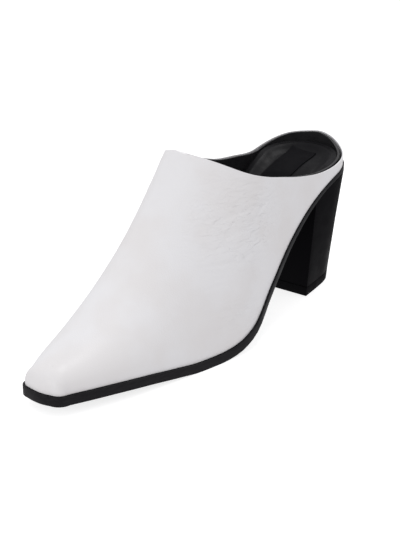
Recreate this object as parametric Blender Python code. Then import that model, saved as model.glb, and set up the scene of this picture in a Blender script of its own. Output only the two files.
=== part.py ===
# Heeled mule for the left foot, drawn in metres. The toe points to -Y, the outer side to +X, up is +Z.
import math
from collections import namedtuple

import bmesh
import bpy
import numpy as np

# Main sizes of the shoe.
LENGTH = 0.262          # upper, from the back of the seat to the toe's front edge
BALL_WIDTH = 0.0725     # upper, across the ball
HEEL_HEIGHT = 0.0819    # floor to the top of the sole at the back of the seat
INSTEP_HEIGHT = 0.1125  # floor to the ridge of the vamp at the throat
THROAT = 0.54           # place of the throat, as a share of the length
WALL = 0.0022           # upper, lining and stiffener together
GAP = 0.0003            # clearance between pieces that touch

SOLE_THICKNESS = 0.0054
SOLE_EDGE = 0.0013      # how far the sole stands out past the upper
INSOLE_THICKNESS = 0.0036
INSOLE_DISH = 0.0012    # how much lower the middle of the insole is than its rim
INSOLE_SLACK = 0.0005   # between the insole's rim and the lining
DISH_ROUND = 2.5        # power of the dish across the insole
DISH_RIM = 0.0200       # distance over which it comes down from the heel end and the toe end

SEAT_DEPTH = 0.0303     # length of the round at the back of the seat
SEAT_ROUND = 2.2        # power of that round, 2 being an ellipse
TOE_CORNER = 0.0062     # radius of the snipped toe's corners
TOE_BOW = 0.0012        # how far the front edge bows out

HEEL_BASE_WIDTH = 0.0452
HEEL_BASE_BACK = 0.0045   # from the back of the seat to the back of the heel's base
HEEL_BASE_FRONT = 0.0465
HEEL_TOP_FRONT = 0.0505
HEEL_TURN = math.radians(0.5)
HEEL_BACK = 0.05        # share of the heel's depth that its back corner takes up
HEEL_BACK_FADE = 4      # power with which the rim at the back dies away towards the sides
TOP_PIECE = 0.0060

# Points of each piece: along the side behind the throat and in front of it, and across.
Division = namedtuple("Division", "side vamp across")
UPPER = Division(22, 26, 13)
OUTSOLE = Division(18, 24, 5)
INSOLE = Division(16, 20, 9)
HEEL = Division(15, 0, 5)
SEAT_POINTS = 11        # round the seat, on each side
CORNER_POINTS = 7
FRONT_POINTS = 5
CROWDING = 1.4          # power that crowds the points of the side towards the seat's round
PULL = 0.8              # how strongly a rib's rows are pulled down by the topline
MOST_PULL = 6
TINY = 0.00001          # points closer than this are one
SHARP = math.radians(35)

# Half widths of the upper at the sole, as shares of the ball width.
Outline = namedtuple("Outline", "along outer inner")
OUTLINE = (
    Outline(0.10, 0.414, 0.427),
    Outline(0.20, 0.407, 0.393),
    Outline(0.30, 0.429, 0.383),
    Outline(0.40, 0.485, 0.398),
    Outline(0.50, 0.564, 0.435),
    Outline(0.60, 0.519, 0.471),
    Outline(0.68, 0.468, 0.480),
    Outline(0.76, 0.412, 0.458),
    Outline(0.84, 0.344, 0.398),
    Outline(0.92, 0.252, 0.300),
    Outline(0.97, 0.180, 0.217),
)

# Top of the sole: its rise over the flat tread, as a share of the rise at the back of the seat.
Rise = namedtuple("Rise", "along rise")
RISE = (
    Rise(0.00, 1.000),
    Rise(0.10, 0.935),
    Rise(0.20, 0.786),
    Rise(0.30, 0.567),
    Rise(0.40, 0.302),
    Rise(0.50, 0.091),
    Rise(0.56, 0.016),
    Rise(0.60, 0.000),
    Rise(0.655, 0.000),
    Rise(0.72, 0.022),
    Rise(0.80, 0.052),
    Rise(0.90, 0.075),
    Rise(1.00, 0.084),
)

# Ridge of the vamp. Behind the throat it only gives the walls their lean. Height is a share of the instep height,
# shift (to the outer side) a share of the ball width.
Ridge = namedtuple("Ridge", "along height shift")
RIDGE = (
    Ridge(0.000, 1.880, -0.068),
    Ridge(0.200, 1.760, -0.068),
    Ridge(0.300, 1.680, -0.068),
    Ridge(0.380, 1.486, -0.068),
    Ridge(0.450, 1.279, -0.068),
    Ridge(0.540, 1.000, -0.098),
    Ridge(0.600, 0.800, -0.122),
    Ridge(0.680, 0.587, -0.137),
    Ridge(0.760, 0.428, -0.120),
    Ridge(0.840, 0.316, -0.073),
    Ridge(0.920, 0.241, -0.015),
    Ridge(0.965, 0.213, 0.014),
)
RIDGE_END = 0.965       # the ridge stops here, and the front edge closes up to it
RIDGE_CLOSING = 0.86    # ribs in front of this lean back towards that end

# Shape of a rib from the sole to the ridge: powers of its sideways and upward course, and its swell as a share of
# the ball width.
Rib = namedtuple("Rib", "along sideways upward swell")
RIB = (
    Rib(0.45, 0.85, 1.02, 0.028),
    Rib(0.68, 1.10, 1.04, -0.021),
    Rib(0.95, 0.90, 0.90, 0.014),
)

# Height of the topline over the sole, as a share of the instep height. It comes to a small point at the back.
Topline = namedtuple("Topline", "along outer inner")
TOPLINE = (
    Topline(0.000, 0.1020, 0.1020),
    Topline(0.006, 0.0870, 0.0930),
    Topline(0.020, 0.0670, 0.0890),
    Topline(0.035, 0.0580, 0.0810),
    Topline(0.060, 0.0540, 0.0660),
    Topline(0.095, 0.0550, 0.0560),
    Topline(0.120, 0.0610, 0.0620),
    Topline(0.200, 0.149, 0.167),
    Topline(0.30, 0.345, 0.350),
    Topline(0.38, 0.540, 0.550),
    Topline(0.46, 0.730, 0.705),
)
LEAN_BEGINS = 0.20      # the seat's band stands upright and has its full lean from here on

# Sole thickness and how far it stands out, as shares of their sizes.
Edge = namedtuple("Edge", "along thickness stand_out")
EDGE = (
    Edge(0.00, 0.45, 0.60),
    Edge(0.16, 0.45, 0.60),
    Edge(0.26, 0.65, 0.70),
    Edge(0.36, 0.83, 0.85),
    Edge(0.48, 1.00, 1.00),
    Edge(1.00, 1.00, 1.00),
)

# Insole: its thickness, dish and clearance to the lining, as shares of their sizes.
Bed = namedtuple("Bed", "along thickness dish slack")
BED = (
    Bed(0.00, 1.00, 1.00, 1.0),
    Bed(0.30, 1.00, 1.00, 1.0),
    Bed(0.50, 0.85, 0.60, 1.8),
    Bed(0.75, 0.65, 0.40, 2.6),
    Bed(1.00, 0.55, 0.20, 4.2),
)

# Half width of the heel's base from its back to its breast, as a share of the half width at the breast.
Base = namedtuple("Base", "depth half")
BASE = (
    Base(0.00, 0.00),
    Base(0.02, 0.27),
    Base(0.05, 0.43),
    Base(0.11, 0.59),
    Base(0.20, 0.70),
    Base(0.30, 0.77),
    Base(0.60, 0.885),
    Base(1.00, 1.00),
)

# Colour, roughness and metallic of each piece.
LOOKS = {
    "upper": ((0.80, 0.79, 0.78), 0.45, 0.0),
    "outsole": ((0.018, 0.018, 0.020), 0.50, 0.0),
    "insole": ((0.022, 0.022, 0.024), 0.40, 0.0),
    "heel": ((0.012, 0.012, 0.013), 0.45, 0.0),
    "top_piece": ((0.015, 0.015, 0.016), 0.60, 0.0),
}


def column(table, name):
    return np.array([getattr(row, name) for row in table])


def hermite(xs, ys, slopes, x):
    """Cubic through the rows with the given slopes."""
    x = np.asarray(x, float)
    i = np.clip(np.searchsorted(xs, x) - 1, 0, len(xs) - 2)
    h = xs[i + 1] - xs[i]
    t = (x - xs[i]) / h
    return (ys[i] * (1 + 2 * t) * (1 - t) ** 2 + slopes[i] * h * t * (1 - t) ** 2
            + ys[i + 1] * t * t * (3 - 2 * t) + slopes[i + 1] * h * t * t * (t - 1))


def smooth(xs, ys, x):
    """Curve with the mean slope of the neighbouring rows at each row."""
    h, d = np.diff(xs), np.diff(ys) / np.diff(xs)
    middle = (d[:-1] * h[1:] + d[1:] * h[:-1]) / (h[1:] + h[:-1])
    return hermite(xs, ys, np.concatenate([d[:1], middle, d[-1:]]), np.clip(x, xs[0], xs[-1]))


def level(xs, ys, x):
    """Curve that never swings past its rows, and is flat between two equal ones."""
    h, d = np.diff(xs), np.diff(ys) / np.diff(xs)
    slopes = np.concatenate([d[:1], np.zeros(len(xs) - 2), d[-1:]])
    for i in range(1, len(xs) - 1):
        if d[i - 1] * d[i] > 0:
            before, after = 2 * h[i] + h[i - 1], h[i] + 2 * h[i - 1]
            slopes[i] = (before + after) / (before / d[i - 1] + after / d[i])
    return hermite(xs, ys, slopes, np.clip(x, xs[0], xs[-1]))


def by_length(table, name, s, curve=level):
    """A column of a table at the distance s from the back of the seat."""
    return curve(column(table, "along") * LENGTH, column(table, name), s)


def sole_top(s):
    return SOLE_THICKNESS + by_length(RISE, "rise", s) * (HEEL_HEIGHT - SOLE_THICKNESS)


def steepness(s):
    """Length of a rise of one along the plumb line for one across the sloping sole."""
    step = LENGTH / 400
    slope = (sole_top(s + step) - sole_top(s - step)) / (2 * step)
    return np.sqrt(1 + slope ** 2)


def sole_bottom(s):
    return sole_top(s) - by_length(EDGE, "thickness", s) * SOLE_THICKNESS


def half_width(side, s):
    """Half width of the upper at the sole; side is 1 for the outer one and -1 for the inner."""
    table = column(OUTLINE, "along") * LENGTH
    shares = column(OUTLINE, "outer" if side > 0 else "inner")
    width = smooth(table, shares, s) * BALL_WIDTH
    last = (shares[-1] - shares[-2]) / (table[-1] - table[-2]) * BALL_WIDTH
    width = width + last * np.maximum(0, s - table[-1])
    turn = np.clip(1 - s / SEAT_DEPTH, 0, 1)
    return width * np.sqrt(1 - turn ** SEAT_ROUND)


def toe_side_end():
    return LENGTH - TOE_BOW - TOE_CORNER


def outline(side, stations):
    """Half of the upper's outline from the centre back to the middle of the toe, as rows of x and s."""
    s = np.asarray(stations)
    x = half_width(side, s)
    corner = np.linspace(0, math.pi / 2, CORNER_POINTS)[1:]
    straight = x[-1] - TOE_CORNER
    corner_x = straight + TOE_CORNER * np.cos(corner)
    corner_s = toe_side_end() + TOE_CORNER * np.sin(corner)
    front = np.linspace(1, 0, FRONT_POINTS)[1:]
    s = np.concatenate([s, corner_s, LENGTH - TOE_BOW * front ** 2])
    x = np.concatenate([x, corner_x, straight * front])
    return np.stack([side * x, s], axis=1)


def stations(division):
    """Places along the side, close together at the seat's round and with one of them at the throat."""
    throat = THROAT * LENGTH
    round_part = SEAT_DEPTH * (1 - np.cos(np.linspace(0, math.pi / 2, SEAT_POINTS)))
    to_throat = throat - (throat - SEAT_DEPTH) * np.linspace(1, 0, division.side)[1:] ** CROWDING
    from_throat = np.linspace(throat, toe_side_end(), division.vamp)[1:]
    return np.concatenate([round_part, to_throat, from_throat])


def moved_out(path, distance):
    """The half outline moved outwards by a distance for each point."""
    along = np.gradient(path, axis=0)
    normal = np.stack([along[:, 1], -along[:, 0]], axis=1)
    normal /= np.linalg.norm(normal, axis=1)[:, None]
    side = np.sign(path[len(path) // 2, 0])
    normal *= side
    normal[0] = (0, -1)
    normal[-1] = (0, 1)
    return path + normal * np.asarray(distance)[:, None]


def ribs(side, places, rows):
    """Points of the upper's outer face: one rib a place, from the sole up to the topline or the ridge."""
    path = outline(side, places)
    x, s = path[:, 0], path[:, 1]
    closing = RIDGE_CLOSING * LENGTH
    squeeze = (RIDGE_END * LENGTH - closing) / (LENGTH - closing)
    ridge_s = np.where(s < closing, s, closing + (s - closing) * squeeze)
    ridge_x = by_length(RIDGE, "shift", ridge_s) * BALL_WIDTH
    ridge_z = by_length(RIDGE, "height", ridge_s, smooth) * INSTEP_HEIGHT
    foot = sole_top(s)
    sideways, upward, swell = (by_length(RIB, name, s)[:, None] for name in ("sideways", "upward", "swell"))
    turn = row_turns(last_turn(side, s, ridge_z - foot, upward[:, 0]), rows)
    inwards = 1 - np.maximum(np.cos(turn), 0) ** sideways
    up = np.sin(turn) ** upward
    run_x, run_s = (ridge_x - x)[:, None], (ridge_s - s)[:, None]
    run = np.hypot(run_x, run_s) + TINY
    lean = np.clip(s / (LEAN_BEGINS * LENGTH), 0, 1)[:, None]
    share = (inwards - swell * BALL_WIDTH / run * np.sin(2 * turn) * (1 - up)) * lean
    clear = (GAP * steepness(s))[:, None]
    height = clear + ((ridge_z - foot)[:, None] - clear) * up
    return np.stack([x[:, None] + run_x * share, s[:, None] + run_s * share, foot[:, None] + height], axis=2)


def last_turn(side, s, full, upward):
    """Where each rib ends: a quarter turn at the ridge, less behind the throat, where the topline cuts it."""
    throat = THROAT * LENGTH
    at_throat = 1 - sole_top(throat) / INSTEP_HEIGHT
    # Square roots of the places are spread evenly round the seat, so the topline can come to a point at the back.
    spread = np.sqrt(np.append(column(TOPLINE, "along"), THROAT) * LENGTH)
    heights = np.append(column(TOPLINE, "outer" if side > 0 else "inner"), at_throat) * INSTEP_HEIGHT
    share = np.clip(smooth(spread, heights, np.sqrt(np.minimum(s, throat))) / full, 0, 1)
    return np.where(s < throat - GAP, np.arcsin(share ** (1 / upward)), math.pi / 2)


def row_turns(last, rows):
    """Turns of a rib's rows. Close to the throat only the upper rows come down with the topline."""
    quarter = math.pi / 2
    missing = quarter - last
    power = np.clip(PULL * quarter / np.maximum(missing, TINY), 1, MOST_PULL)[:, None]
    row = np.linspace(0, 1, rows)[None, :]
    return quarter * row - missing[:, None] * row ** power


def world(points):
    """From across, along and up to the shared frame, with the middle of the length at the origin."""
    x, s, z = points[..., 0], points[..., 1], points[..., 2]
    return np.stack([x, LENGTH / 2 - s, z], axis=-1)


def grid_faces(rows, columns, offset=0):
    """Four-sided faces of a grid whose points are numbered row by row."""
    faces = []
    for i in range(rows - 1):
        for j in range(columns - 1):
            a = offset + i * columns + j
            faces.append((a, a + 1, a + columns + 1, a + columns))
    return faces


def finished(name, mesh):
    """A closed body with its own material and soft shading."""
    bmesh.ops.remove_doubles(mesh, verts=mesh.verts, dist=TINY)
    bmesh.ops.recalc_face_normals(mesh, faces=mesh.faces)
    data = bpy.data.meshes.new(name)
    mesh.to_mesh(data)
    mesh.free()
    data.shade_smooth()
    data.set_sharp_from_angle(angle=SHARP)
    body = bpy.data.objects.new(name, data)
    bpy.context.scene.collection.objects.link(body)
    colour, roughness, metallic = LOOKS[name]
    material = bpy.data.materials.new(name)
    material.use_nodes = True
    shader = material.node_tree.nodes["Principled BSDF"]
    shader.inputs["Base Color"].default_value = (*colour, 1)
    shader.inputs["Roughness"].default_value = roughness
    shader.inputs["Metallic"].default_value = metallic
    data.materials.append(material)
    return body


def slab(name, top, bottom):
    """A body between two grids of the same shape, closed along all four edges."""
    rows, columns = top.shape[:2]
    mesh = bmesh.new()
    points = np.concatenate([world(top).reshape(-1, 3), world(bottom).reshape(-1, 3)])
    verts = [mesh.verts.new(p) for p in points]
    faces = grid_faces(rows, columns) + grid_faces(rows, columns, rows * columns)
    half = rows * columns
    rim = [i * columns for i in range(rows)]
    rim += [(rows - 1) * columns + j for j in range(1, columns)]
    rim += [i * columns + columns - 1 for i in range(rows - 2, -1, -1)]
    rim += [j for j in range(columns - 2, 0, -1)]
    for a, b in zip(rim, rim[1:] + rim[:1]):
        faces.append((a, b, b + half, a + half))
    for face in faces:
        mesh.faces.new([verts[k] for k in face])
    return finished(name, mesh)


def across(outer, inner, columns):
    """Rows of points from the outer half outline to the inner one, as x and s."""
    share = np.linspace(0, 1, columns)[None, :, None]
    return outer[:, None, :] * (1 - share) + inner[:, None, :] * share


def lifted(plan, height):
    return np.concatenate([plan, np.asarray(height)[..., None]], axis=2)


def outer_face():
    """The upper's outer face: ribs of both sides, joined at the back and along the ridge. Normals point outwards."""
    mesh = bmesh.new()
    for side in (1, -1):
        grid = ribs(side, stations(UPPER), UPPER.across)
        verts = [mesh.verts.new(p) for p in world(grid).reshape(-1, 3)]
        for face in grid_faces(*grid.shape[:2]):
            mesh.faces.new([verts[k] for k in face])
    bmesh.ops.remove_doubles(mesh, verts=mesh.verts, dist=TINY)
    bmesh.ops.recalc_face_normals(mesh, faces=mesh.faces)
    outermost = max(mesh.faces, key=lambda face: face.calc_center_median().x)
    if outermost.normal.x < 0:
        bmesh.ops.reverse_faces(mesh, faces=mesh.faces)
    mesh.verts.index_update()
    mesh.normal_update()
    return mesh


def inside(vert):
    """The point of the inner face behind a point of the outer one, kept clear of the sole."""
    place = vert.co - vert.normal * WALL
    clear = float(GAP * steepness(LENGTH / 2 - place.y))
    lowest = float(sole_top(LENGTH / 2 - place.y)) + clear
    on_sole = vert.co.z < sole_top(LENGTH / 2 - vert.co.y) + 2 * GAP
    if on_sole or place.z < lowest:
        place.z = lowest
    return place


def make_upper():
    """Hollow shell: the outer face, the same face moved inwards by the wall, and the rims between the two."""
    mesh = outer_face()
    faces = list(mesh.faces)
    rims = [edge for edge in mesh.edges if edge.is_boundary]
    inner = [mesh.verts.new(inside(vert)) for vert in list(mesh.verts)]
    for face in faces:
        mesh.faces.new([inner[v.index] for v in reversed(face.verts)])
    for edge in rims:
        a, b = edge.verts
        mesh.faces.new([a, b, inner[b.index], inner[a.index]])
    return finished("upper", mesh)


def make_outsole():
    """Flat-edged sole that follows the outline of the upper and stands out past it."""
    halves = []
    for side in (1, -1):
        path = outline(side, stations(OUTSOLE))
        halves.append(moved_out(path, SOLE_EDGE * by_length(EDGE, "stand_out", path[:, 1])))
    plan = across(*halves, OUTSOLE.across)
    s = plan[..., 1]
    return slab("outsole", lifted(plan, sole_top(s)), lifted(plan, sole_bottom(s)))


def make_insole():
    """Footbed with a raised rim and a dished middle, lying on the sole inside the upper."""
    halves = []
    for side in (1, -1):
        path = outline(side, stations(INSOLE))
        halves.append(moved_out(path, -WALL - INSOLE_SLACK * by_length(BED, "slack", path[:, 1])))
    plan = across(*halves, INSOLE.across)
    s = plan[..., 1]
    low = sole_top(s) + GAP * steepness(s)
    from_middle = np.abs(np.linspace(-1, 1, INSOLE.across)) ** DISH_ROUND
    to_end = np.minimum(s - s.min(), s.max() - s) / DISH_RIM
    bowl = 1 - (1 - np.clip(to_end, 0, 1)) ** 2
    dish = INSOLE_DISH * by_length(BED, "dish", s) * (1 - (1 - from_middle) * bowl)
    top = low + (INSOLE_THICKNESS * by_length(BED, "thickness", s) + dish) * steepness(s)
    return slab("insole", lifted(plan, top), lifted(plan, low))


def heel_plan(drop):
    """Plan of the heel at a share of its height from the top (0) to the floor (1)."""
    depth = 1 - np.cos(np.linspace(0, math.pi / 2, HEEL.side))
    top_s = depth * HEEL_TOP_FRONT
    base_s = HEEL_BASE_BACK + depth * (HEEL_BASE_FRONT - HEEL_BASE_BACK)
    base_half = smooth(column(BASE, "depth"), column(BASE, "half"), depth) * HEEL_BASE_WIDTH / 2
    halves = []
    for side in (1, -1):
        stand_out = SOLE_EDGE * by_length(EDGE, "stand_out", top_s)
        x = side * (half_width(side, top_s) + stand_out * np.minimum(1, depth / HEEL_BACK))
        path_s = top_s - stand_out * (1 - depth) ** HEEL_BACK_FADE
        base_x = side * base_half * math.cos(HEEL_TURN)
        turned_s = base_s + side * base_half * math.sin(HEEL_TURN)
        halves.append(np.stack([x + (base_x - x) * drop, path_s + (turned_s - path_s) * drop], axis=1))
    return across(*halves, HEEL.across)


def make_heel():
    """Block under the seat. Its top follows the underside of the sole."""
    top = heel_plan(0)
    s = top[..., 1]
    top_z = sole_bottom(s) - GAP * steepness(s)
    bottom = heel_plan(1 - TOP_PIECE / HEEL_HEIGHT)
    bottom_z = np.full(s.shape, TOP_PIECE + GAP)
    return slab("heel", lifted(top, top_z), lifted(bottom, bottom_z))


def make_top_piece():
    """Lift with a flat face on the floor."""
    top = heel_plan(1 - TOP_PIECE / HEEL_HEIGHT)
    bottom = heel_plan(1)
    flat = np.zeros(top.shape[:2])
    return slab("top_piece", lifted(top, flat + TOP_PIECE), lifted(bottom, flat))


def centred(bodies):
    """The origin lies under the middle of the shoe's bounding box, on the floor."""
    points = np.array([v.co for body in bodies for v in body.data.vertices])
    middle = (points.min(axis=0) + points.max(axis=0)) / 2
    middle[2] = 0
    for body in bodies:
        for vert in body.data.vertices:
            vert.co = np.array(vert.co) - middle


def main():
    for thing in list(bpy.data.objects):
        bpy.data.objects.remove(thing, do_unlink=True)
    centred([make_upper(), make_outsole(), make_insole(), make_heel(), make_top_piece()])


main()
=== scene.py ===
# %% [markdown]
# # White leather mule on a black block heel
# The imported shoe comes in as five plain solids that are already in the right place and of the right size.
# They are the frame: each lesson below lays a finished piece over one of them, lets that piece ride on the
# frame, and gives it its material. The toe points to -Y, the outer side of this left shoe to +X.

import math
from collections import namedtuple

import bmesh
import bpy
import numpy as np
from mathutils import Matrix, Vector
from mathutils.bvhtree import BVHTree


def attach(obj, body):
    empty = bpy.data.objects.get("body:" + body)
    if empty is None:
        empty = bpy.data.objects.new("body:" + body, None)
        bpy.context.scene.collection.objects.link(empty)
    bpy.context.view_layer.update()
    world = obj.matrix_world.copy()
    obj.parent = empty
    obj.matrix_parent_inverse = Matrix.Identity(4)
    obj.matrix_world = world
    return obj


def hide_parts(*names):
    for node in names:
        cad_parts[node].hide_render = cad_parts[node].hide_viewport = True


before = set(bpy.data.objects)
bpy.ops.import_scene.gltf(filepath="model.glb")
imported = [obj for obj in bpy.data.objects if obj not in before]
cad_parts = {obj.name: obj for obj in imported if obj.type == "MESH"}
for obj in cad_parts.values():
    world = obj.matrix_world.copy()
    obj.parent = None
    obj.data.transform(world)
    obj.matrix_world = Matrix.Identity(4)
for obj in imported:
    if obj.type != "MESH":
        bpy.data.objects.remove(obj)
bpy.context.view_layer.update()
MM = 0.001
print("frame:", sorted(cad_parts))


# %% [markdown]
# ## Small tools
# A piece is selected alone before it is worked on. A copy of a frame solid is joined along its seams first
# and its triangles are turned back into four-sided faces, so that later steps run smoothly over it.

# %% Tools
SEAM = 0.01 * MM        # corners nearer to each other than this are one
FACE_TURN, FACE_SKEW = math.radians(60), math.radians(80)
INWARD, OUTWARD, DOWN = Vector((-1, 0, 0)), Vector((1, 0, 0)), Vector((0, 0, -1))


def only(piece):
    if bpy.context.mode != "OBJECT":
        bpy.ops.object.mode_set(mode="OBJECT")
    bpy.ops.object.select_all(action="DESELECT")
    piece.select_set(True)
    bpy.context.view_layer.objects.active = piece


def open_mesh(piece, kind="FACE"):
    only(piece)
    bpy.ops.object.mode_set(mode="EDIT")
    bpy.ops.mesh.select_mode(type=kind)
    bpy.ops.mesh.select_all(action="DESELECT")
    return bmesh.from_edit_mesh(piece.data)


def close_mesh():
    bpy.ops.object.mode_set(mode="OBJECT")


def apply(piece, kind, **settings):
    only(piece)
    modifier = piece.modifiers.new(kind.lower(), kind)
    for name, value in settings.items():
        setattr(modifier, name, value)
    bpy.ops.object.modifier_apply(modifier=modifier.name)


def copy_of(node, name):
    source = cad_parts[node]
    piece = bpy.data.objects.new(name, source.data.copy())
    bpy.context.scene.collection.objects.link(piece)
    piece.data.materials.clear()
    open_mesh(piece)
    bpy.ops.mesh.select_all(action="SELECT")
    bpy.ops.mesh.remove_doubles(threshold=SEAM)
    bpy.ops.mesh.customdata_custom_splitnormals_clear()
    bpy.ops.mesh.tris_convert_to_quads(face_threshold=FACE_TURN, shape_threshold=FACE_SKEW)
    close_mesh()
    return piece


def first_hit(piece, start, direction):
    """The face that a straight look from a point meets first."""
    tree = BVHTree.FromObject(piece, bpy.context.evaluated_depsgraph_get())
    return tree.ray_cast(Vector(start), direction)[2]


def keep_skin(piece, face, turn=50):
    """Keeps only the skin around one face, out to the sharp edges."""
    mesh = open_mesh(piece)
    mesh.faces.ensure_lookup_table()
    mesh.faces[face].select = True
    bmesh.update_edit_mesh(piece.data)
    bpy.ops.mesh.faces_select_linked_flat(sharpness=math.radians(turn))
    bpy.ops.mesh.select_all(action="INVERT")
    bpy.ops.mesh.delete(type="FACE")
    close_mesh()


def smooth(piece, angle=40):
    only(piece)
    bpy.ops.object.shade_smooth_by_angle(angle=math.radians(angle))


def round_edges(piece, width, segments, turn=50):
    """Rounds each edge that turns by more than an angle."""
    apply(
        piece, "BEVEL", width=width, segments=segments,
        limit_method="ANGLE", angle_limit=math.radians(turn),
    )


def finish_piece(piece, node, *materials):
    for material in materials:
        piece.data.materials.append(material)
    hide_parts(node)
    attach(piece, "root")
    print(piece.name, len(piece.data.polygons), "faces")


# %% [markdown]
# ## Materials
# Everything is painted in the object's own coordinates, in metres. Leather is a colour that hardly changes,
# and a fine grain; the white leather has a thin coat of finish too. What all of the materials share is
# written once.

# %% Material tools
NOISE = (0.3, 0.7)              # a noise hardly leaves these values
MIX_SHARE, MIX_A, MIX_B = 0, 6, 7   # what goes into a blend of two colours
MIX_RESULT = 2                  # and where it comes out


class Paint:
    """One finish, and the patterns that it can have."""

    def __init__(self, name, colour, roughness, **settings):
        self.material = bpy.data.materials.new(name)
        self.material.use_nodes = True
        self.tree = self.material.node_tree
        self.shader = self.tree.nodes["Principled BSDF"]
        self.shader.inputs["Base Color"].default_value = (*colour, 1)
        self.shader.inputs["Roughness"].default_value = roughness
        for key, value in settings.items():
            self.shader.inputs[key.replace("_", " ")].default_value = value
        self.place = self.tree.nodes.new("ShaderNodeTexCoord").outputs["Object"]
        self.normal = None

    def node(self, kind, **values):
        node = self.tree.nodes.new("ShaderNode" + kind)
        for key, value in values.items():
            setattr(node, key, value)
        return node

    def join(self, source, target):
        self.tree.links.new(source, target)

    def stretched(self, scale, turn=(0, 0, 0)):
        mapping = self.node("Mapping")
        mapping.inputs["Scale"].default_value = scale
        mapping.inputs["Rotation"].default_value = turn
        self.join(self.place, mapping.inputs["Vector"])
        return mapping.outputs["Vector"]

    def noise(self, scale, detail=3, rough=0.55, where=None, distortion=0):
        node = self.node("TexNoise")
        node.inputs["Scale"].default_value = scale
        node.inputs["Detail"].default_value = detail
        node.inputs["Roughness"].default_value = rough
        node.inputs["Distortion"].default_value = distortion
        self.join(where or self.place, node.inputs["Vector"])
        return node.outputs["Fac"]

    def cells(self, scale):
        node = self.node("TexVoronoi", feature="SMOOTH_F1")
        node.inputs["Scale"].default_value = scale
        node.inputs["Smoothness"].default_value = 0.6
        self.join(self.place, node.inputs["Vector"])
        return node.outputs["Distance"]

    def attribute(self, name):
        return self.node("Attribute", attribute_name=name).outputs["Fac"]

    def between(self, value, low, high, out_low=0.0, out_high=1.0):
        node = self.node("MapRange", interpolation_type="SMOOTHSTEP")
        ends = {"From Min": low, "From Max": high, "To Min": out_low, "To Max": out_high}
        for socket, number in ends.items():
            node.inputs[socket].default_value = number
        self.join(value, node.inputs["Value"])
        return node.outputs["Result"]

    def product(self, a, b):
        node = self.node("Math", operation="MULTIPLY")
        self.join(a, node.inputs[0])
        self.join(b, node.inputs[1])
        return node.outputs[0]

    def blend(self, share, a, b):
        node = self.node("Mix", data_type="RGBA")
        self.join(share, node.inputs[MIX_SHARE])
        node.inputs[MIX_A].default_value = (*a, 1)
        node.inputs[MIX_B].default_value = (*b, 1)
        return node.outputs[MIX_RESULT]

    def colour(self, value):
        self.join(value, self.shader.inputs["Base Color"])

    def rough(self, scale, low, high):
        """Lets the roughness wander between two values."""
        wander = self.between(self.noise(scale, 4), *NOISE, low, high)
        self.join(wander, self.shader.inputs["Roughness"])

    def bump(self, height, depth):
        node = self.node("Bump")
        node.inputs["Strength"].default_value = 1
        node.inputs["Distance"].default_value = depth
        self.join(height, node.inputs["Height"])
        if self.normal is not None:
            self.join(self.normal, node.inputs["Normal"])
        self.normal = node.outputs["Normal"]
        self.join(self.normal, self.shader.inputs["Normal"])


# %% [markdown]
# ### White leather
# A smooth, slightly waxy calf. Its colour wanders a little between a cool and a warm white. The pebbled
# part, where the hide is finely wrinkled, is written on the mesh as the attribute `wrinkled` when the upper
# is made.

# %% White leather
WHITE_COOL = (0.800, 0.797, 0.808)
WHITE_WARM = (0.770, 0.755, 0.755)
GRAIN = 0.03 * MM               # depth of the pores
WRINKLES = 0.38 * MM            # depth of the fine wrinkles
LEAN = math.radians(-14)        # how the wrinkles lean, along the quarter


def white_leather():
    paint = Paint("white_leather", WHITE_COOL, 0.42, Coat_Weight=0.12, Coat_Roughness=0.30)
    clouds = paint.between(paint.noise(28), 0.38, 0.68)
    paint.colour(paint.blend(clouds, WHITE_COOL, WHITE_WARM))
    paint.rough(140, 0.38, 0.50)
    wrinkled = paint.attribute("wrinkled")
    paint.bump(paint.cells(1500), GRAIN)
    paint.bump(paint.noise(900, 4, 0.6), GRAIN)
    leaning = paint.stretched((1, 0.55, 1.6), (LEAN, 0, 0))
    lines = paint.noise(230, 2, 0.5, leaning, distortion=0.6)
    paint.bump(paint.product(paint.between(lines, *NOISE), wrinkled), WRINKLES)
    return paint.material


leather = white_leather()
print("material:", leather.name)


# %% [markdown]
# ### Black materials
# The lining and the footbed are the same black leather, which is pressed smoother on the footbed. The heel
# is covered in plain black, the sole's edge is painted, and the lift under the heel is hard rubber.

# %% Black leathers and rubber
BLACK, BLACK_WORN = (0.006, 0.0058, 0.0068), (0.009, 0.0088, 0.010)
EDGE_PAINT, EDGE_DARK, EDGE_PALE = (0.022, 0.0215, 0.024), (0.009, 0.0086, 0.010), (0.014, 0.0135, 0.015)
HEEL_BLACK, RUBBER_BLACK = (0.0046, 0.0044, 0.0052), (0.0050, 0.0048, 0.0056)
CLOUDY = (0.35, 0.70)           # from where to where a noise is read for its patches


def black_leather(name, roughness, shine, grain):
    paint = Paint(name, BLACK, roughness, Specular_IOR_Level=shine)
    patches = paint.between(paint.noise(60, 4), *CLOUDY)
    paint.colour(paint.blend(patches, BLACK, BLACK_WORN))
    paint.rough(220, roughness - 0.05, roughness + 0.08)
    paint.bump(paint.cells(1300), grain * MM)
    return paint.material


def black_edge():
    paint = Paint("sole_edge_black", EDGE_PAINT, 0.42, Specular_IOR_Level=0.10)
    fibres = paint.noise(500, 4, 0.6, paint.stretched((1, 0.25, 2)))
    paint.colour(paint.blend(paint.between(fibres, *CLOUDY), EDGE_DARK, EDGE_PALE))
    paint.rough(90, 0.40, 0.56)
    paint.bump(fibres, 0.03 * MM)
    return paint.material


def black_cover():
    paint = Paint("heel_cover_black", HEEL_BLACK, 0.42, Specular_IOR_Level=0.010)
    paint.rough(120, 0.38, 0.50)
    paint.bump(paint.noise(1100, 3), 0.02 * MM)
    return paint.material


def lift_rubber():
    paint = Paint("lift_rubber_black", RUBBER_BLACK, 0.60, Specular_IOR_Level=0.02)
    paint.rough(300, 0.52, 0.70)
    paint.bump(paint.noise(1600, 3), 0.04 * MM)
    return paint.material


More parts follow.
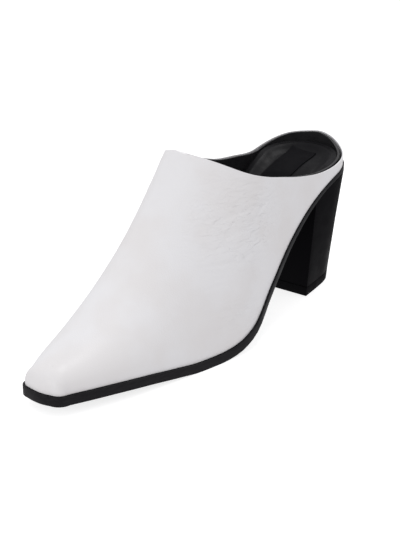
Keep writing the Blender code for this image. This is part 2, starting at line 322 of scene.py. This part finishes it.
lining_leather = black_leather("lining_leather_black", roughness=0.42, shine=0.32, grain=0.05)
footbed_leather = black_leather("footbed_leather_black", roughness=0.36, shine=0.06, grain=0.02)
patch_leather = black_leather("patch_leather_black", roughness=0.50, shine=0.015, grain=0.015)
edge_black, heel_black, rubber_black = black_edge(), black_cover(), lift_rubber()
print("materials:", len(bpy.data.materials))


# %% [markdown]
# ## Leather upper
# On the real shoe one piece of leather is pulled over the last and its top edge is folded over. Here the
# outer skin of the frame's shell is kept, made four times finer each way, given its creases, and then its
# own thickness inwards. The creases were read off the photograph as places on the outer side, in
# millimetres along Y and up.

# %% Creases of the outer side
Crease = namedtuple("Crease", "start middle end width depth")
CREASES = (
    Crease((31, 85.0), (16, 79.5), (9, 74.5), 1.3, 0.34),
    Crease((32, 82.0), (20, 80.0), (5, 84.0), 1.2, 0.26),
    Crease((9, 82.0), (-4, 80.8), (-18, 75.7), 1.4, 0.34),
    Crease((27, 80.5), (16, 83.5), (8, 87.0), 1.1, 0.22),
    Crease((4, 86.5), (-3, 85.8), (-10, 84.5), 1.2, 0.24),
    Crease((2, 82.5), (-4, 83.4), (-10, 82.5), 1.0, 0.16),
    Crease((-11, 80.0), (-15, 79.8), (-20, 78.0), 1.2, 0.18),
    Crease((6, 71.5), (-4, 72.0), (-14, 71.0), 1.1, 0.34),
    Crease((-3, 70.6), (-10, 69.4), (-16, 68.0), 1.0, 0.30),
    Crease((-16, 67.0), (-21, 65.6), (-27, 63.8), 1.0, 0.24),
    Crease((-13, 65.6), (-18, 64.0), (-24, 62.2), 1.0, 0.22),
    Crease((-3, 63.4), (-11, 61.6), (-18, 60.0), 1.1, 0.16),
    Crease((34, 57.5), (18, 60.5), (3, 65.5), 1.4, 0.14),
    Crease((5, 57.0), (-10, 55.7), (-30, 55.4), 1.0, 0.36),
    Crease((8, 58.8), (-3, 58.5), (-12, 57.2), 0.9, 0.34),
    Crease((-12, 51.0), (-20, 50.7), (-29, 53.0), 1.2, 0.20),
    Crease((-15, 47.6), (-21, 47.8), (-26, 47.9), 1.1, 0.14),
    Crease((-17, 44.4), (-25, 43.8), (-32, 43.0), 1.2, 0.20),
    Crease((11, 27.8), (-8, 29.2), (-30, 29.7), 1.4, 0.32),
    Crease((2, 27.0), (-10, 26.0), (-21, 26.4), 1.2, 0.26),
    Crease((-7, 23.6), (-13, 21.4), (-23, 21.2), 1.2, 0.22),
    Crease((1, 98.0), (8, 95.5), (14, 93.6), 1.6, 0.14),
)
REACH = 3               # beyond this many widths a crease isn't felt
BANK = 0.9              # how strongly the hide rises on either side of a trough
END, TAPER = 0.04, 0.7  # how shallow a trough's ends are, and how slowly it deepens


def near_crease(point, crease):
    """How far a place on the side is from the crease, and how far along it, from 0 to 1."""
    best, share = math.inf, 0
    corners = [Vector(corner) for corner in (crease.start, crease.middle, crease.end)]
    for k in range(2):
        a, b = corners[k], corners[k + 1]
        t = max(0, min(1, (point - a).dot(b - a) / (b - a).length_squared))
        distance = (point - a - (b - a) * t).length
        if distance < best:
            best, share = distance, (k + t) / 2
    return best, share


def crease_depth(y, z):
    """Depth of the troughs at a place of the outer side, with a low ridge on either side of each."""
    total, point = 0, Vector((y, z))
    for crease in CREASES:
        distance, share = near_crease(point, crease)
        u = distance / crease.width
        if u < REACH:
            along = math.sin(math.pi * min(max(share, END), 1 - END)) ** TAPER
            across = math.exp(-u * u) * (1 - BANK * u * u)
            total += crease.depth * along * across
    return total


# %% Upper
LEATHER = 0.65 * MM     # thickness of the folded edge
FOLD = 0.25 * MM        # rounding of that edge
BESIDE_VAMP = (0.2, -0.03, 0.03)
CREASED_FROM = 12       # the creased part, in millimetres: from here outwards,
CREASED = (-34, 38)     # and between these places along the shoe
FACING = 0.3            # how much a face there has to look outwards

upper = copy_of("upper", "leather_upper")
keep_skin(upper, first_hit(upper, BESIDE_VAMP, INWARD))
apply(upper, "SUBSURF", levels=2, render_levels=2)

mesh = open_mesh(upper)
for face in mesh.faces:
    x, y, z = face.calc_center_median() / MM
    face.select = x > CREASED_FROM and CREASED[0] < y < CREASED[1] and face.normal.x > FACING
bmesh.update_edit_mesh(upper.data)
bpy.ops.mesh.subdivide(number_cuts=1, smoothness=0)
close_mesh()
print("outer skin:", len(upper.data.polygons), "faces")


Area = namedtuple("Area", "y z length height")
QUARTER = Area(3, 74, 30, 26)
BALL = Area(-10, 25, 16, 9)
WRINKLED_FROM = 10      # how far outwards the wrinkles begin
BALL_SHARE = 0.8        # how deep they are at the ball


def away(y, z, area):
    """How far a place is from an area's middle, squared, where 1 is its edge."""
    return ((y - area.y) / area.length) ** 2 + ((z - area.z) / area.height) ** 2


def wrinkled(x, y, z):
    """Where the hide is finely wrinkled: the outer quarter below the topline, and a little at the ball."""
    if x < WRINKLED_FROM:
        return 0
    quarter = math.exp(-away(y, z, QUARTER) ** 1.5)
    ball = BALL_SHARE * math.exp(-away(y, z, BALL))
    return min(1, quarter + ball)


mask = upper.data.attributes.new("wrinkled", "FLOAT", "POINT")
for vert in upper.data.vertices:
    x, y, z = vert.co / MM
    mask.data[vert.index].value = wrinkled(x, y, z)
    if x > 0:
        vert.co -= vert.normal * (crease_depth(y, z) * MM)
apply(upper, "SOLIDIFY", thickness=LEATHER, offset=-1)
round_edges(upper, FOLD, 2, 60)
smooth(upper, 60)
finish_piece(upper, "upper", leather)


# %% [markdown]
# ## Lining
# A thin black skin glued inside the leather. It ends a little below the folded edge, so the white shows all
# round the collar as a fine line.

# %% Lining
LINING = 1.45 * MM
BELOW_EDGE = 0.15 * MM  # how much lower the lining ends than the folded edge
NEAR_SOLE = 2 * MM      # its lower edge is within this of the sole
INSIDE_VAMP = (-0.004, -0.03, 0.03)

lining = copy_of("upper", "lining")
keep_skin(lining, first_hit(lining, INSIDE_VAMP, OUTWARD))
sole_surface = BVHTree.FromObject(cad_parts["outsole"], bpy.context.evaluated_depsgraph_get())
mesh = open_mesh(lining, "VERT")
for vert in mesh.verts:
    vert.select = vert.is_boundary and sole_surface.find_nearest(vert.co)[3] > NEAR_SOLE
bmesh.update_edit_mesh(lining.data)
bpy.ops.transform.translate(value=(0, 0, -BELOW_EDGE))
close_mesh()
apply(lining, "SUBSURF", levels=2, render_levels=2)
apply(lining, "SOLIDIFY", thickness=LINING, offset=1)
smooth(lining, 60)
lining.data.materials.append(lining_leather)
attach(lining, "root")
print(lining.name, len(lining.data.polygons), "faces")


# %% [markdown]
# ## Sole
# Cut from one sheet and painted black at its edge. The edge is flat, with its two corners just broken.

# %% Sole
SOLE_CORNER = 0.45 * MM

sole = copy_of("outsole", "sole")
round_edges(sole, SOLE_CORNER, 3)
smooth(sole, 35)
finish_piece(sole, "outsole", edge_black)


# %% [markdown]
# ## Heel and lift
# A moulded block with its cover pulled round it, and a hard rubber lift nailed under it. The edges of the
# breast are nearly sharp.

# %% Heel
HEEL_CORNER, LIFT_CORNER = 0.6 * MM, 0.35 * MM

heel = copy_of("heel", "block_heel")
round_edges(heel, HEEL_CORNER, 3)
smooth(heel, 35)
finish_piece(heel, "heel", heel_black)

lift = copy_of("top_piece", "heel_lift")
round_edges(lift, LIFT_CORNER, 2)
smooth(lift, 35)
finish_piece(lift, "top_piece", rubber_black)


# %% [markdown]
# ## Footbed
# The padded sock inside the shoe: a raised border along the wall with one groove pressed into it, then a
# soft step down into the dish where the foot lies. The top of the frame's insole is kept, made finer, and
# raised or pressed by how far each point is from its rim, in millimetres.

# %% Footbed
Step = namedtuple("Step", "inwards height")
BORDER = (
    Step(0.0, -0.6),
    Step(1.0, 0.8),
    Step(2.2, 1.2),
    Step(3.0, 1.1),
    Step(3.5, 0.7),
    Step(4.0, 1.0),
    Step(4.8, 1.2),
    Step(6.5, 0.6),
    Step(9.0, -0.6),
    Step(12.0, -1.6),
    Step(15.0, -1.9),
)
FOOTBED = 2.2 * MM      # thickness of board, padding and leather
ABOVE_SEAT = (-0.003, 0.09, 0.2)
NOTHING = 1e-12         # keeps an edge without length from dividing by zero

footbed = copy_of("insole", "footbed")
keep_skin(footbed, first_hit(footbed, ABOVE_SEAT, DOWN), 45)
open_mesh(footbed)
bpy.ops.mesh.select_all(action="SELECT")
bpy.ops.mesh.subdivide(number_cuts=7, smoothness=0)
close_mesh()


def distance_to_rim(piece):
    """For each vertex, how far it is from the open edge of the mesh."""
    mesh = bmesh.new()
    mesh.from_mesh(piece.data)
    rim = [(e.verts[0].co.copy(), e.verts[1].co.copy()) for e in mesh.edges if e.is_boundary]
    mesh.free()
    a = np.array([p for p, _ in rim])
    b = np.array([q for _, q in rim])
    span = b - a
    length = (span ** 2).sum(axis=1) + NOTHING
    out = []
    for vert in piece.data.vertices:
        p = np.array(vert.co)
        t = np.clip(((p - a) * span).sum(axis=1) / length, 0, 1)
        out.append(float(np.sqrt(((a + span * t[:, None] - p) ** 2).sum(axis=1)).min()))
    return out


inwards = [row.inwards for row in BORDER]
heights = [row.height for row in BORDER]
for vert, far in zip(footbed.data.vertices, distance_to_rim(footbed)):
    vert.co.z += float(np.interp(far / MM, inwards, heights)) * MM
open_mesh(footbed)
bpy.ops.mesh.select_all(action="SELECT")
bpy.ops.mesh.vertices_smooth(factor=0.5, repeat=2, xaxis=False, yaxis=False)
close_mesh()
apply(footbed, "SOLIDIFY", thickness=FOOTBED, offset=-1)
smooth(footbed, 60)
finish_piece(footbed, "insole", footbed_leather)


# %% [markdown]
# ## Patch on the footbed
# A plain rectangle of black sheet glued in the dish at the heel. It is left blank.

# %% Patch
PATCH_WIDTH, PATCH_LENGTH = 18.5 * MM, 62 * MM
PATCH_BACK = Vector((-6.3, 117.6, 100)) * MM    # middle of its back edge, above the shoe
PATCH_TURN = math.radians(-3.5)
PATCH, PATCH_CORNER = 0.55 * MM, 0.15 * MM      # its thickness, and the rounding of its edge
GLUE = 0.05 * MM

middle = PATCH_BACK + Vector((math.sin(PATCH_TURN), -math.cos(PATCH_TURN), 0)) * PATCH_LENGTH / 2
bpy.ops.mesh.primitive_grid_add(x_subdivisions=12, y_subdivisions=40, size=1, location=middle)
patch = bpy.context.active_object
patch.name = "footbed_patch"
patch.scale = (PATCH_WIDTH, PATCH_LENGTH, 1)
patch.rotation_euler = (0, 0, PATCH_TURN)
bpy.ops.object.transform_apply(location=True, rotation=True, scale=True)
shrink = patch.modifiers.new("lie", "SHRINKWRAP")
shrink.target = footbed
shrink.wrap_method = "PROJECT"
shrink.use_project_z = True
shrink.use_negative_direction = True
shrink.use_positive_direction = False
shrink.offset = GLUE
only(patch)
bpy.ops.object.modifier_apply(modifier="lie")
apply(patch, "SOLIDIFY", thickness=PATCH, offset=1)
round_edges(patch, PATCH_CORNER, 2)
smooth(patch, 40)
patch.data.materials.append(patch_leather)
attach(patch, "root")
print(patch.name, len(patch.data.polygons), "faces")


# %% [markdown]
# ## Studio
# A pale floor, a bright even room, one large soft lamp in front and to the left, and a smaller one above
# and behind for the gloss in the footbed.

# %% Floor and light
FLOOR_SIZE, FLOOR_GREY, FLOOR_GLOW = 12, (0.5, 0.5, 0.5), 0.78
ROOM_TOP, ROOM_BOTTOM = (0.86, 0.855, 0.87), (0.82, 0.81, 0.825)
ROOM_LIGHT = 0.95
ROOM_FADE = (-0.35, 0.55)       # between these heights the room goes from its lower tone to its upper one

bpy.ops.mesh.primitive_plane_add(size=FLOOR_SIZE, location=(0, 0, 0))
floor = bpy.context.active_object
floor.name = "studio_floor"
floor_paint = Paint("floor_white", FLOOR_GREY, 0.9)
floor_paint.shader.inputs["Emission Color"].default_value = (1, 1, 1, 1)
floor_paint.shader.inputs["Emission Strength"].default_value = FLOOR_GLOW
floor.data.materials.append(floor_paint.material)
floor.visible_diffuse = False
floor.visible_glossy = False

world = bpy.data.worlds.new("room")
bpy.context.scene.world = world
world.use_nodes = True
nodes, links = world.node_tree.nodes, world.node_tree.links
direction = nodes.new("ShaderNodeTexCoord")
height = nodes.new("ShaderNodeSeparateXYZ")
links.new(direction.outputs["Generated"], height.inputs[0])
fade = nodes.new("ShaderNodeMapRange")
fade.interpolation_type = "SMOOTHSTEP"
fade.inputs["From Min"].default_value = ROOM_FADE[0]
fade.inputs["From Max"].default_value = ROOM_FADE[1]
links.new(height.outputs["Z"], fade.inputs["Value"])
tone = nodes.new("ShaderNodeMix")
tone.data_type = "RGBA"
tone.inputs[MIX_A].default_value = (*ROOM_BOTTOM, 1)
tone.inputs[MIX_B].default_value = (*ROOM_TOP, 1)
links.new(fade.outputs["Result"], tone.inputs[MIX_SHARE])
links.new(tone.outputs[MIX_RESULT], nodes["Background"].inputs["Color"])
nodes["Background"].inputs["Strength"].default_value = ROOM_LIGHT

AZIMUTH, ELEVATION = math.radians(41.08), math.radians(20.63)
LEVEL = math.cos(ELEVATION)
VIEWER = Vector((math.sin(AZIMUTH) * LEVEL, -math.cos(AZIMUTH) * LEVEL, math.sin(ELEVATION)))
VIEWER_LEFT = Vector((-math.cos(AZIMUTH), -math.sin(AZIMUTH), 0))
FRONT_LAMP = VIEWER_LEFT * 0.7 + VIEWER * 0.8 + Vector((0, 0, 0.1))
BACK_LAMP = Vector((-0.08, 0.43, 0.89))
SHOE = Vector((0, 0, 0.05))


def soft_lamp(name, towards, distance, size, watts):
    """A square lamp that looks at the shoe from a direction."""
    data = bpy.data.lights.new(name, "AREA")
    data.size = size
    data.energy = watts
    lamp = bpy.data.objects.new(name, data)
    lamp.location = SHOE + towards.normalized() * distance
    lamp.rotation_mode = "QUATERNION"
    lamp.rotation_quaternion = towards.to_track_quat("Z", "Y")
    bpy.context.scene.collection.objects.link(lamp)


soft_lamp("front", FRONT_LAMP, distance=1.6, size=0.7, watts=3.8)
soft_lamp("back", BACK_LAMP, distance=1.4, size=0.45, watts=4.5)


# %% [markdown]
# ## Camera
# It stands where the photograph was taken from, 0.76 m from the shoe and 21 degrees above it, and is turned
# so that the whole shoe shows.

# %% Camera
SEEN_FROM = Vector((432.15, -562.2, 321.0)) * MM
AIM = Vector((-0.0017, 0.0028, 0.0405))
LENS, SENSOR, NEAREST = 89.0, 36, 0.01

camera = bpy.data.objects.new("camera", bpy.data.cameras.new("camera"))
camera.data.lens = LENS
camera.data.sensor_width = SENSOR
camera.data.clip_start = NEAREST
camera.location = SEEN_FROM
camera.rotation_mode = "QUATERNION"
camera.rotation_quaternion = (SEEN_FROM - AIM).to_track_quat("Z", "Y")
bpy.context.scene.collection.objects.link(camera)
bpy.context.scene.camera = camera
bpy.context.scene.view_settings.view_transform = "Standard"
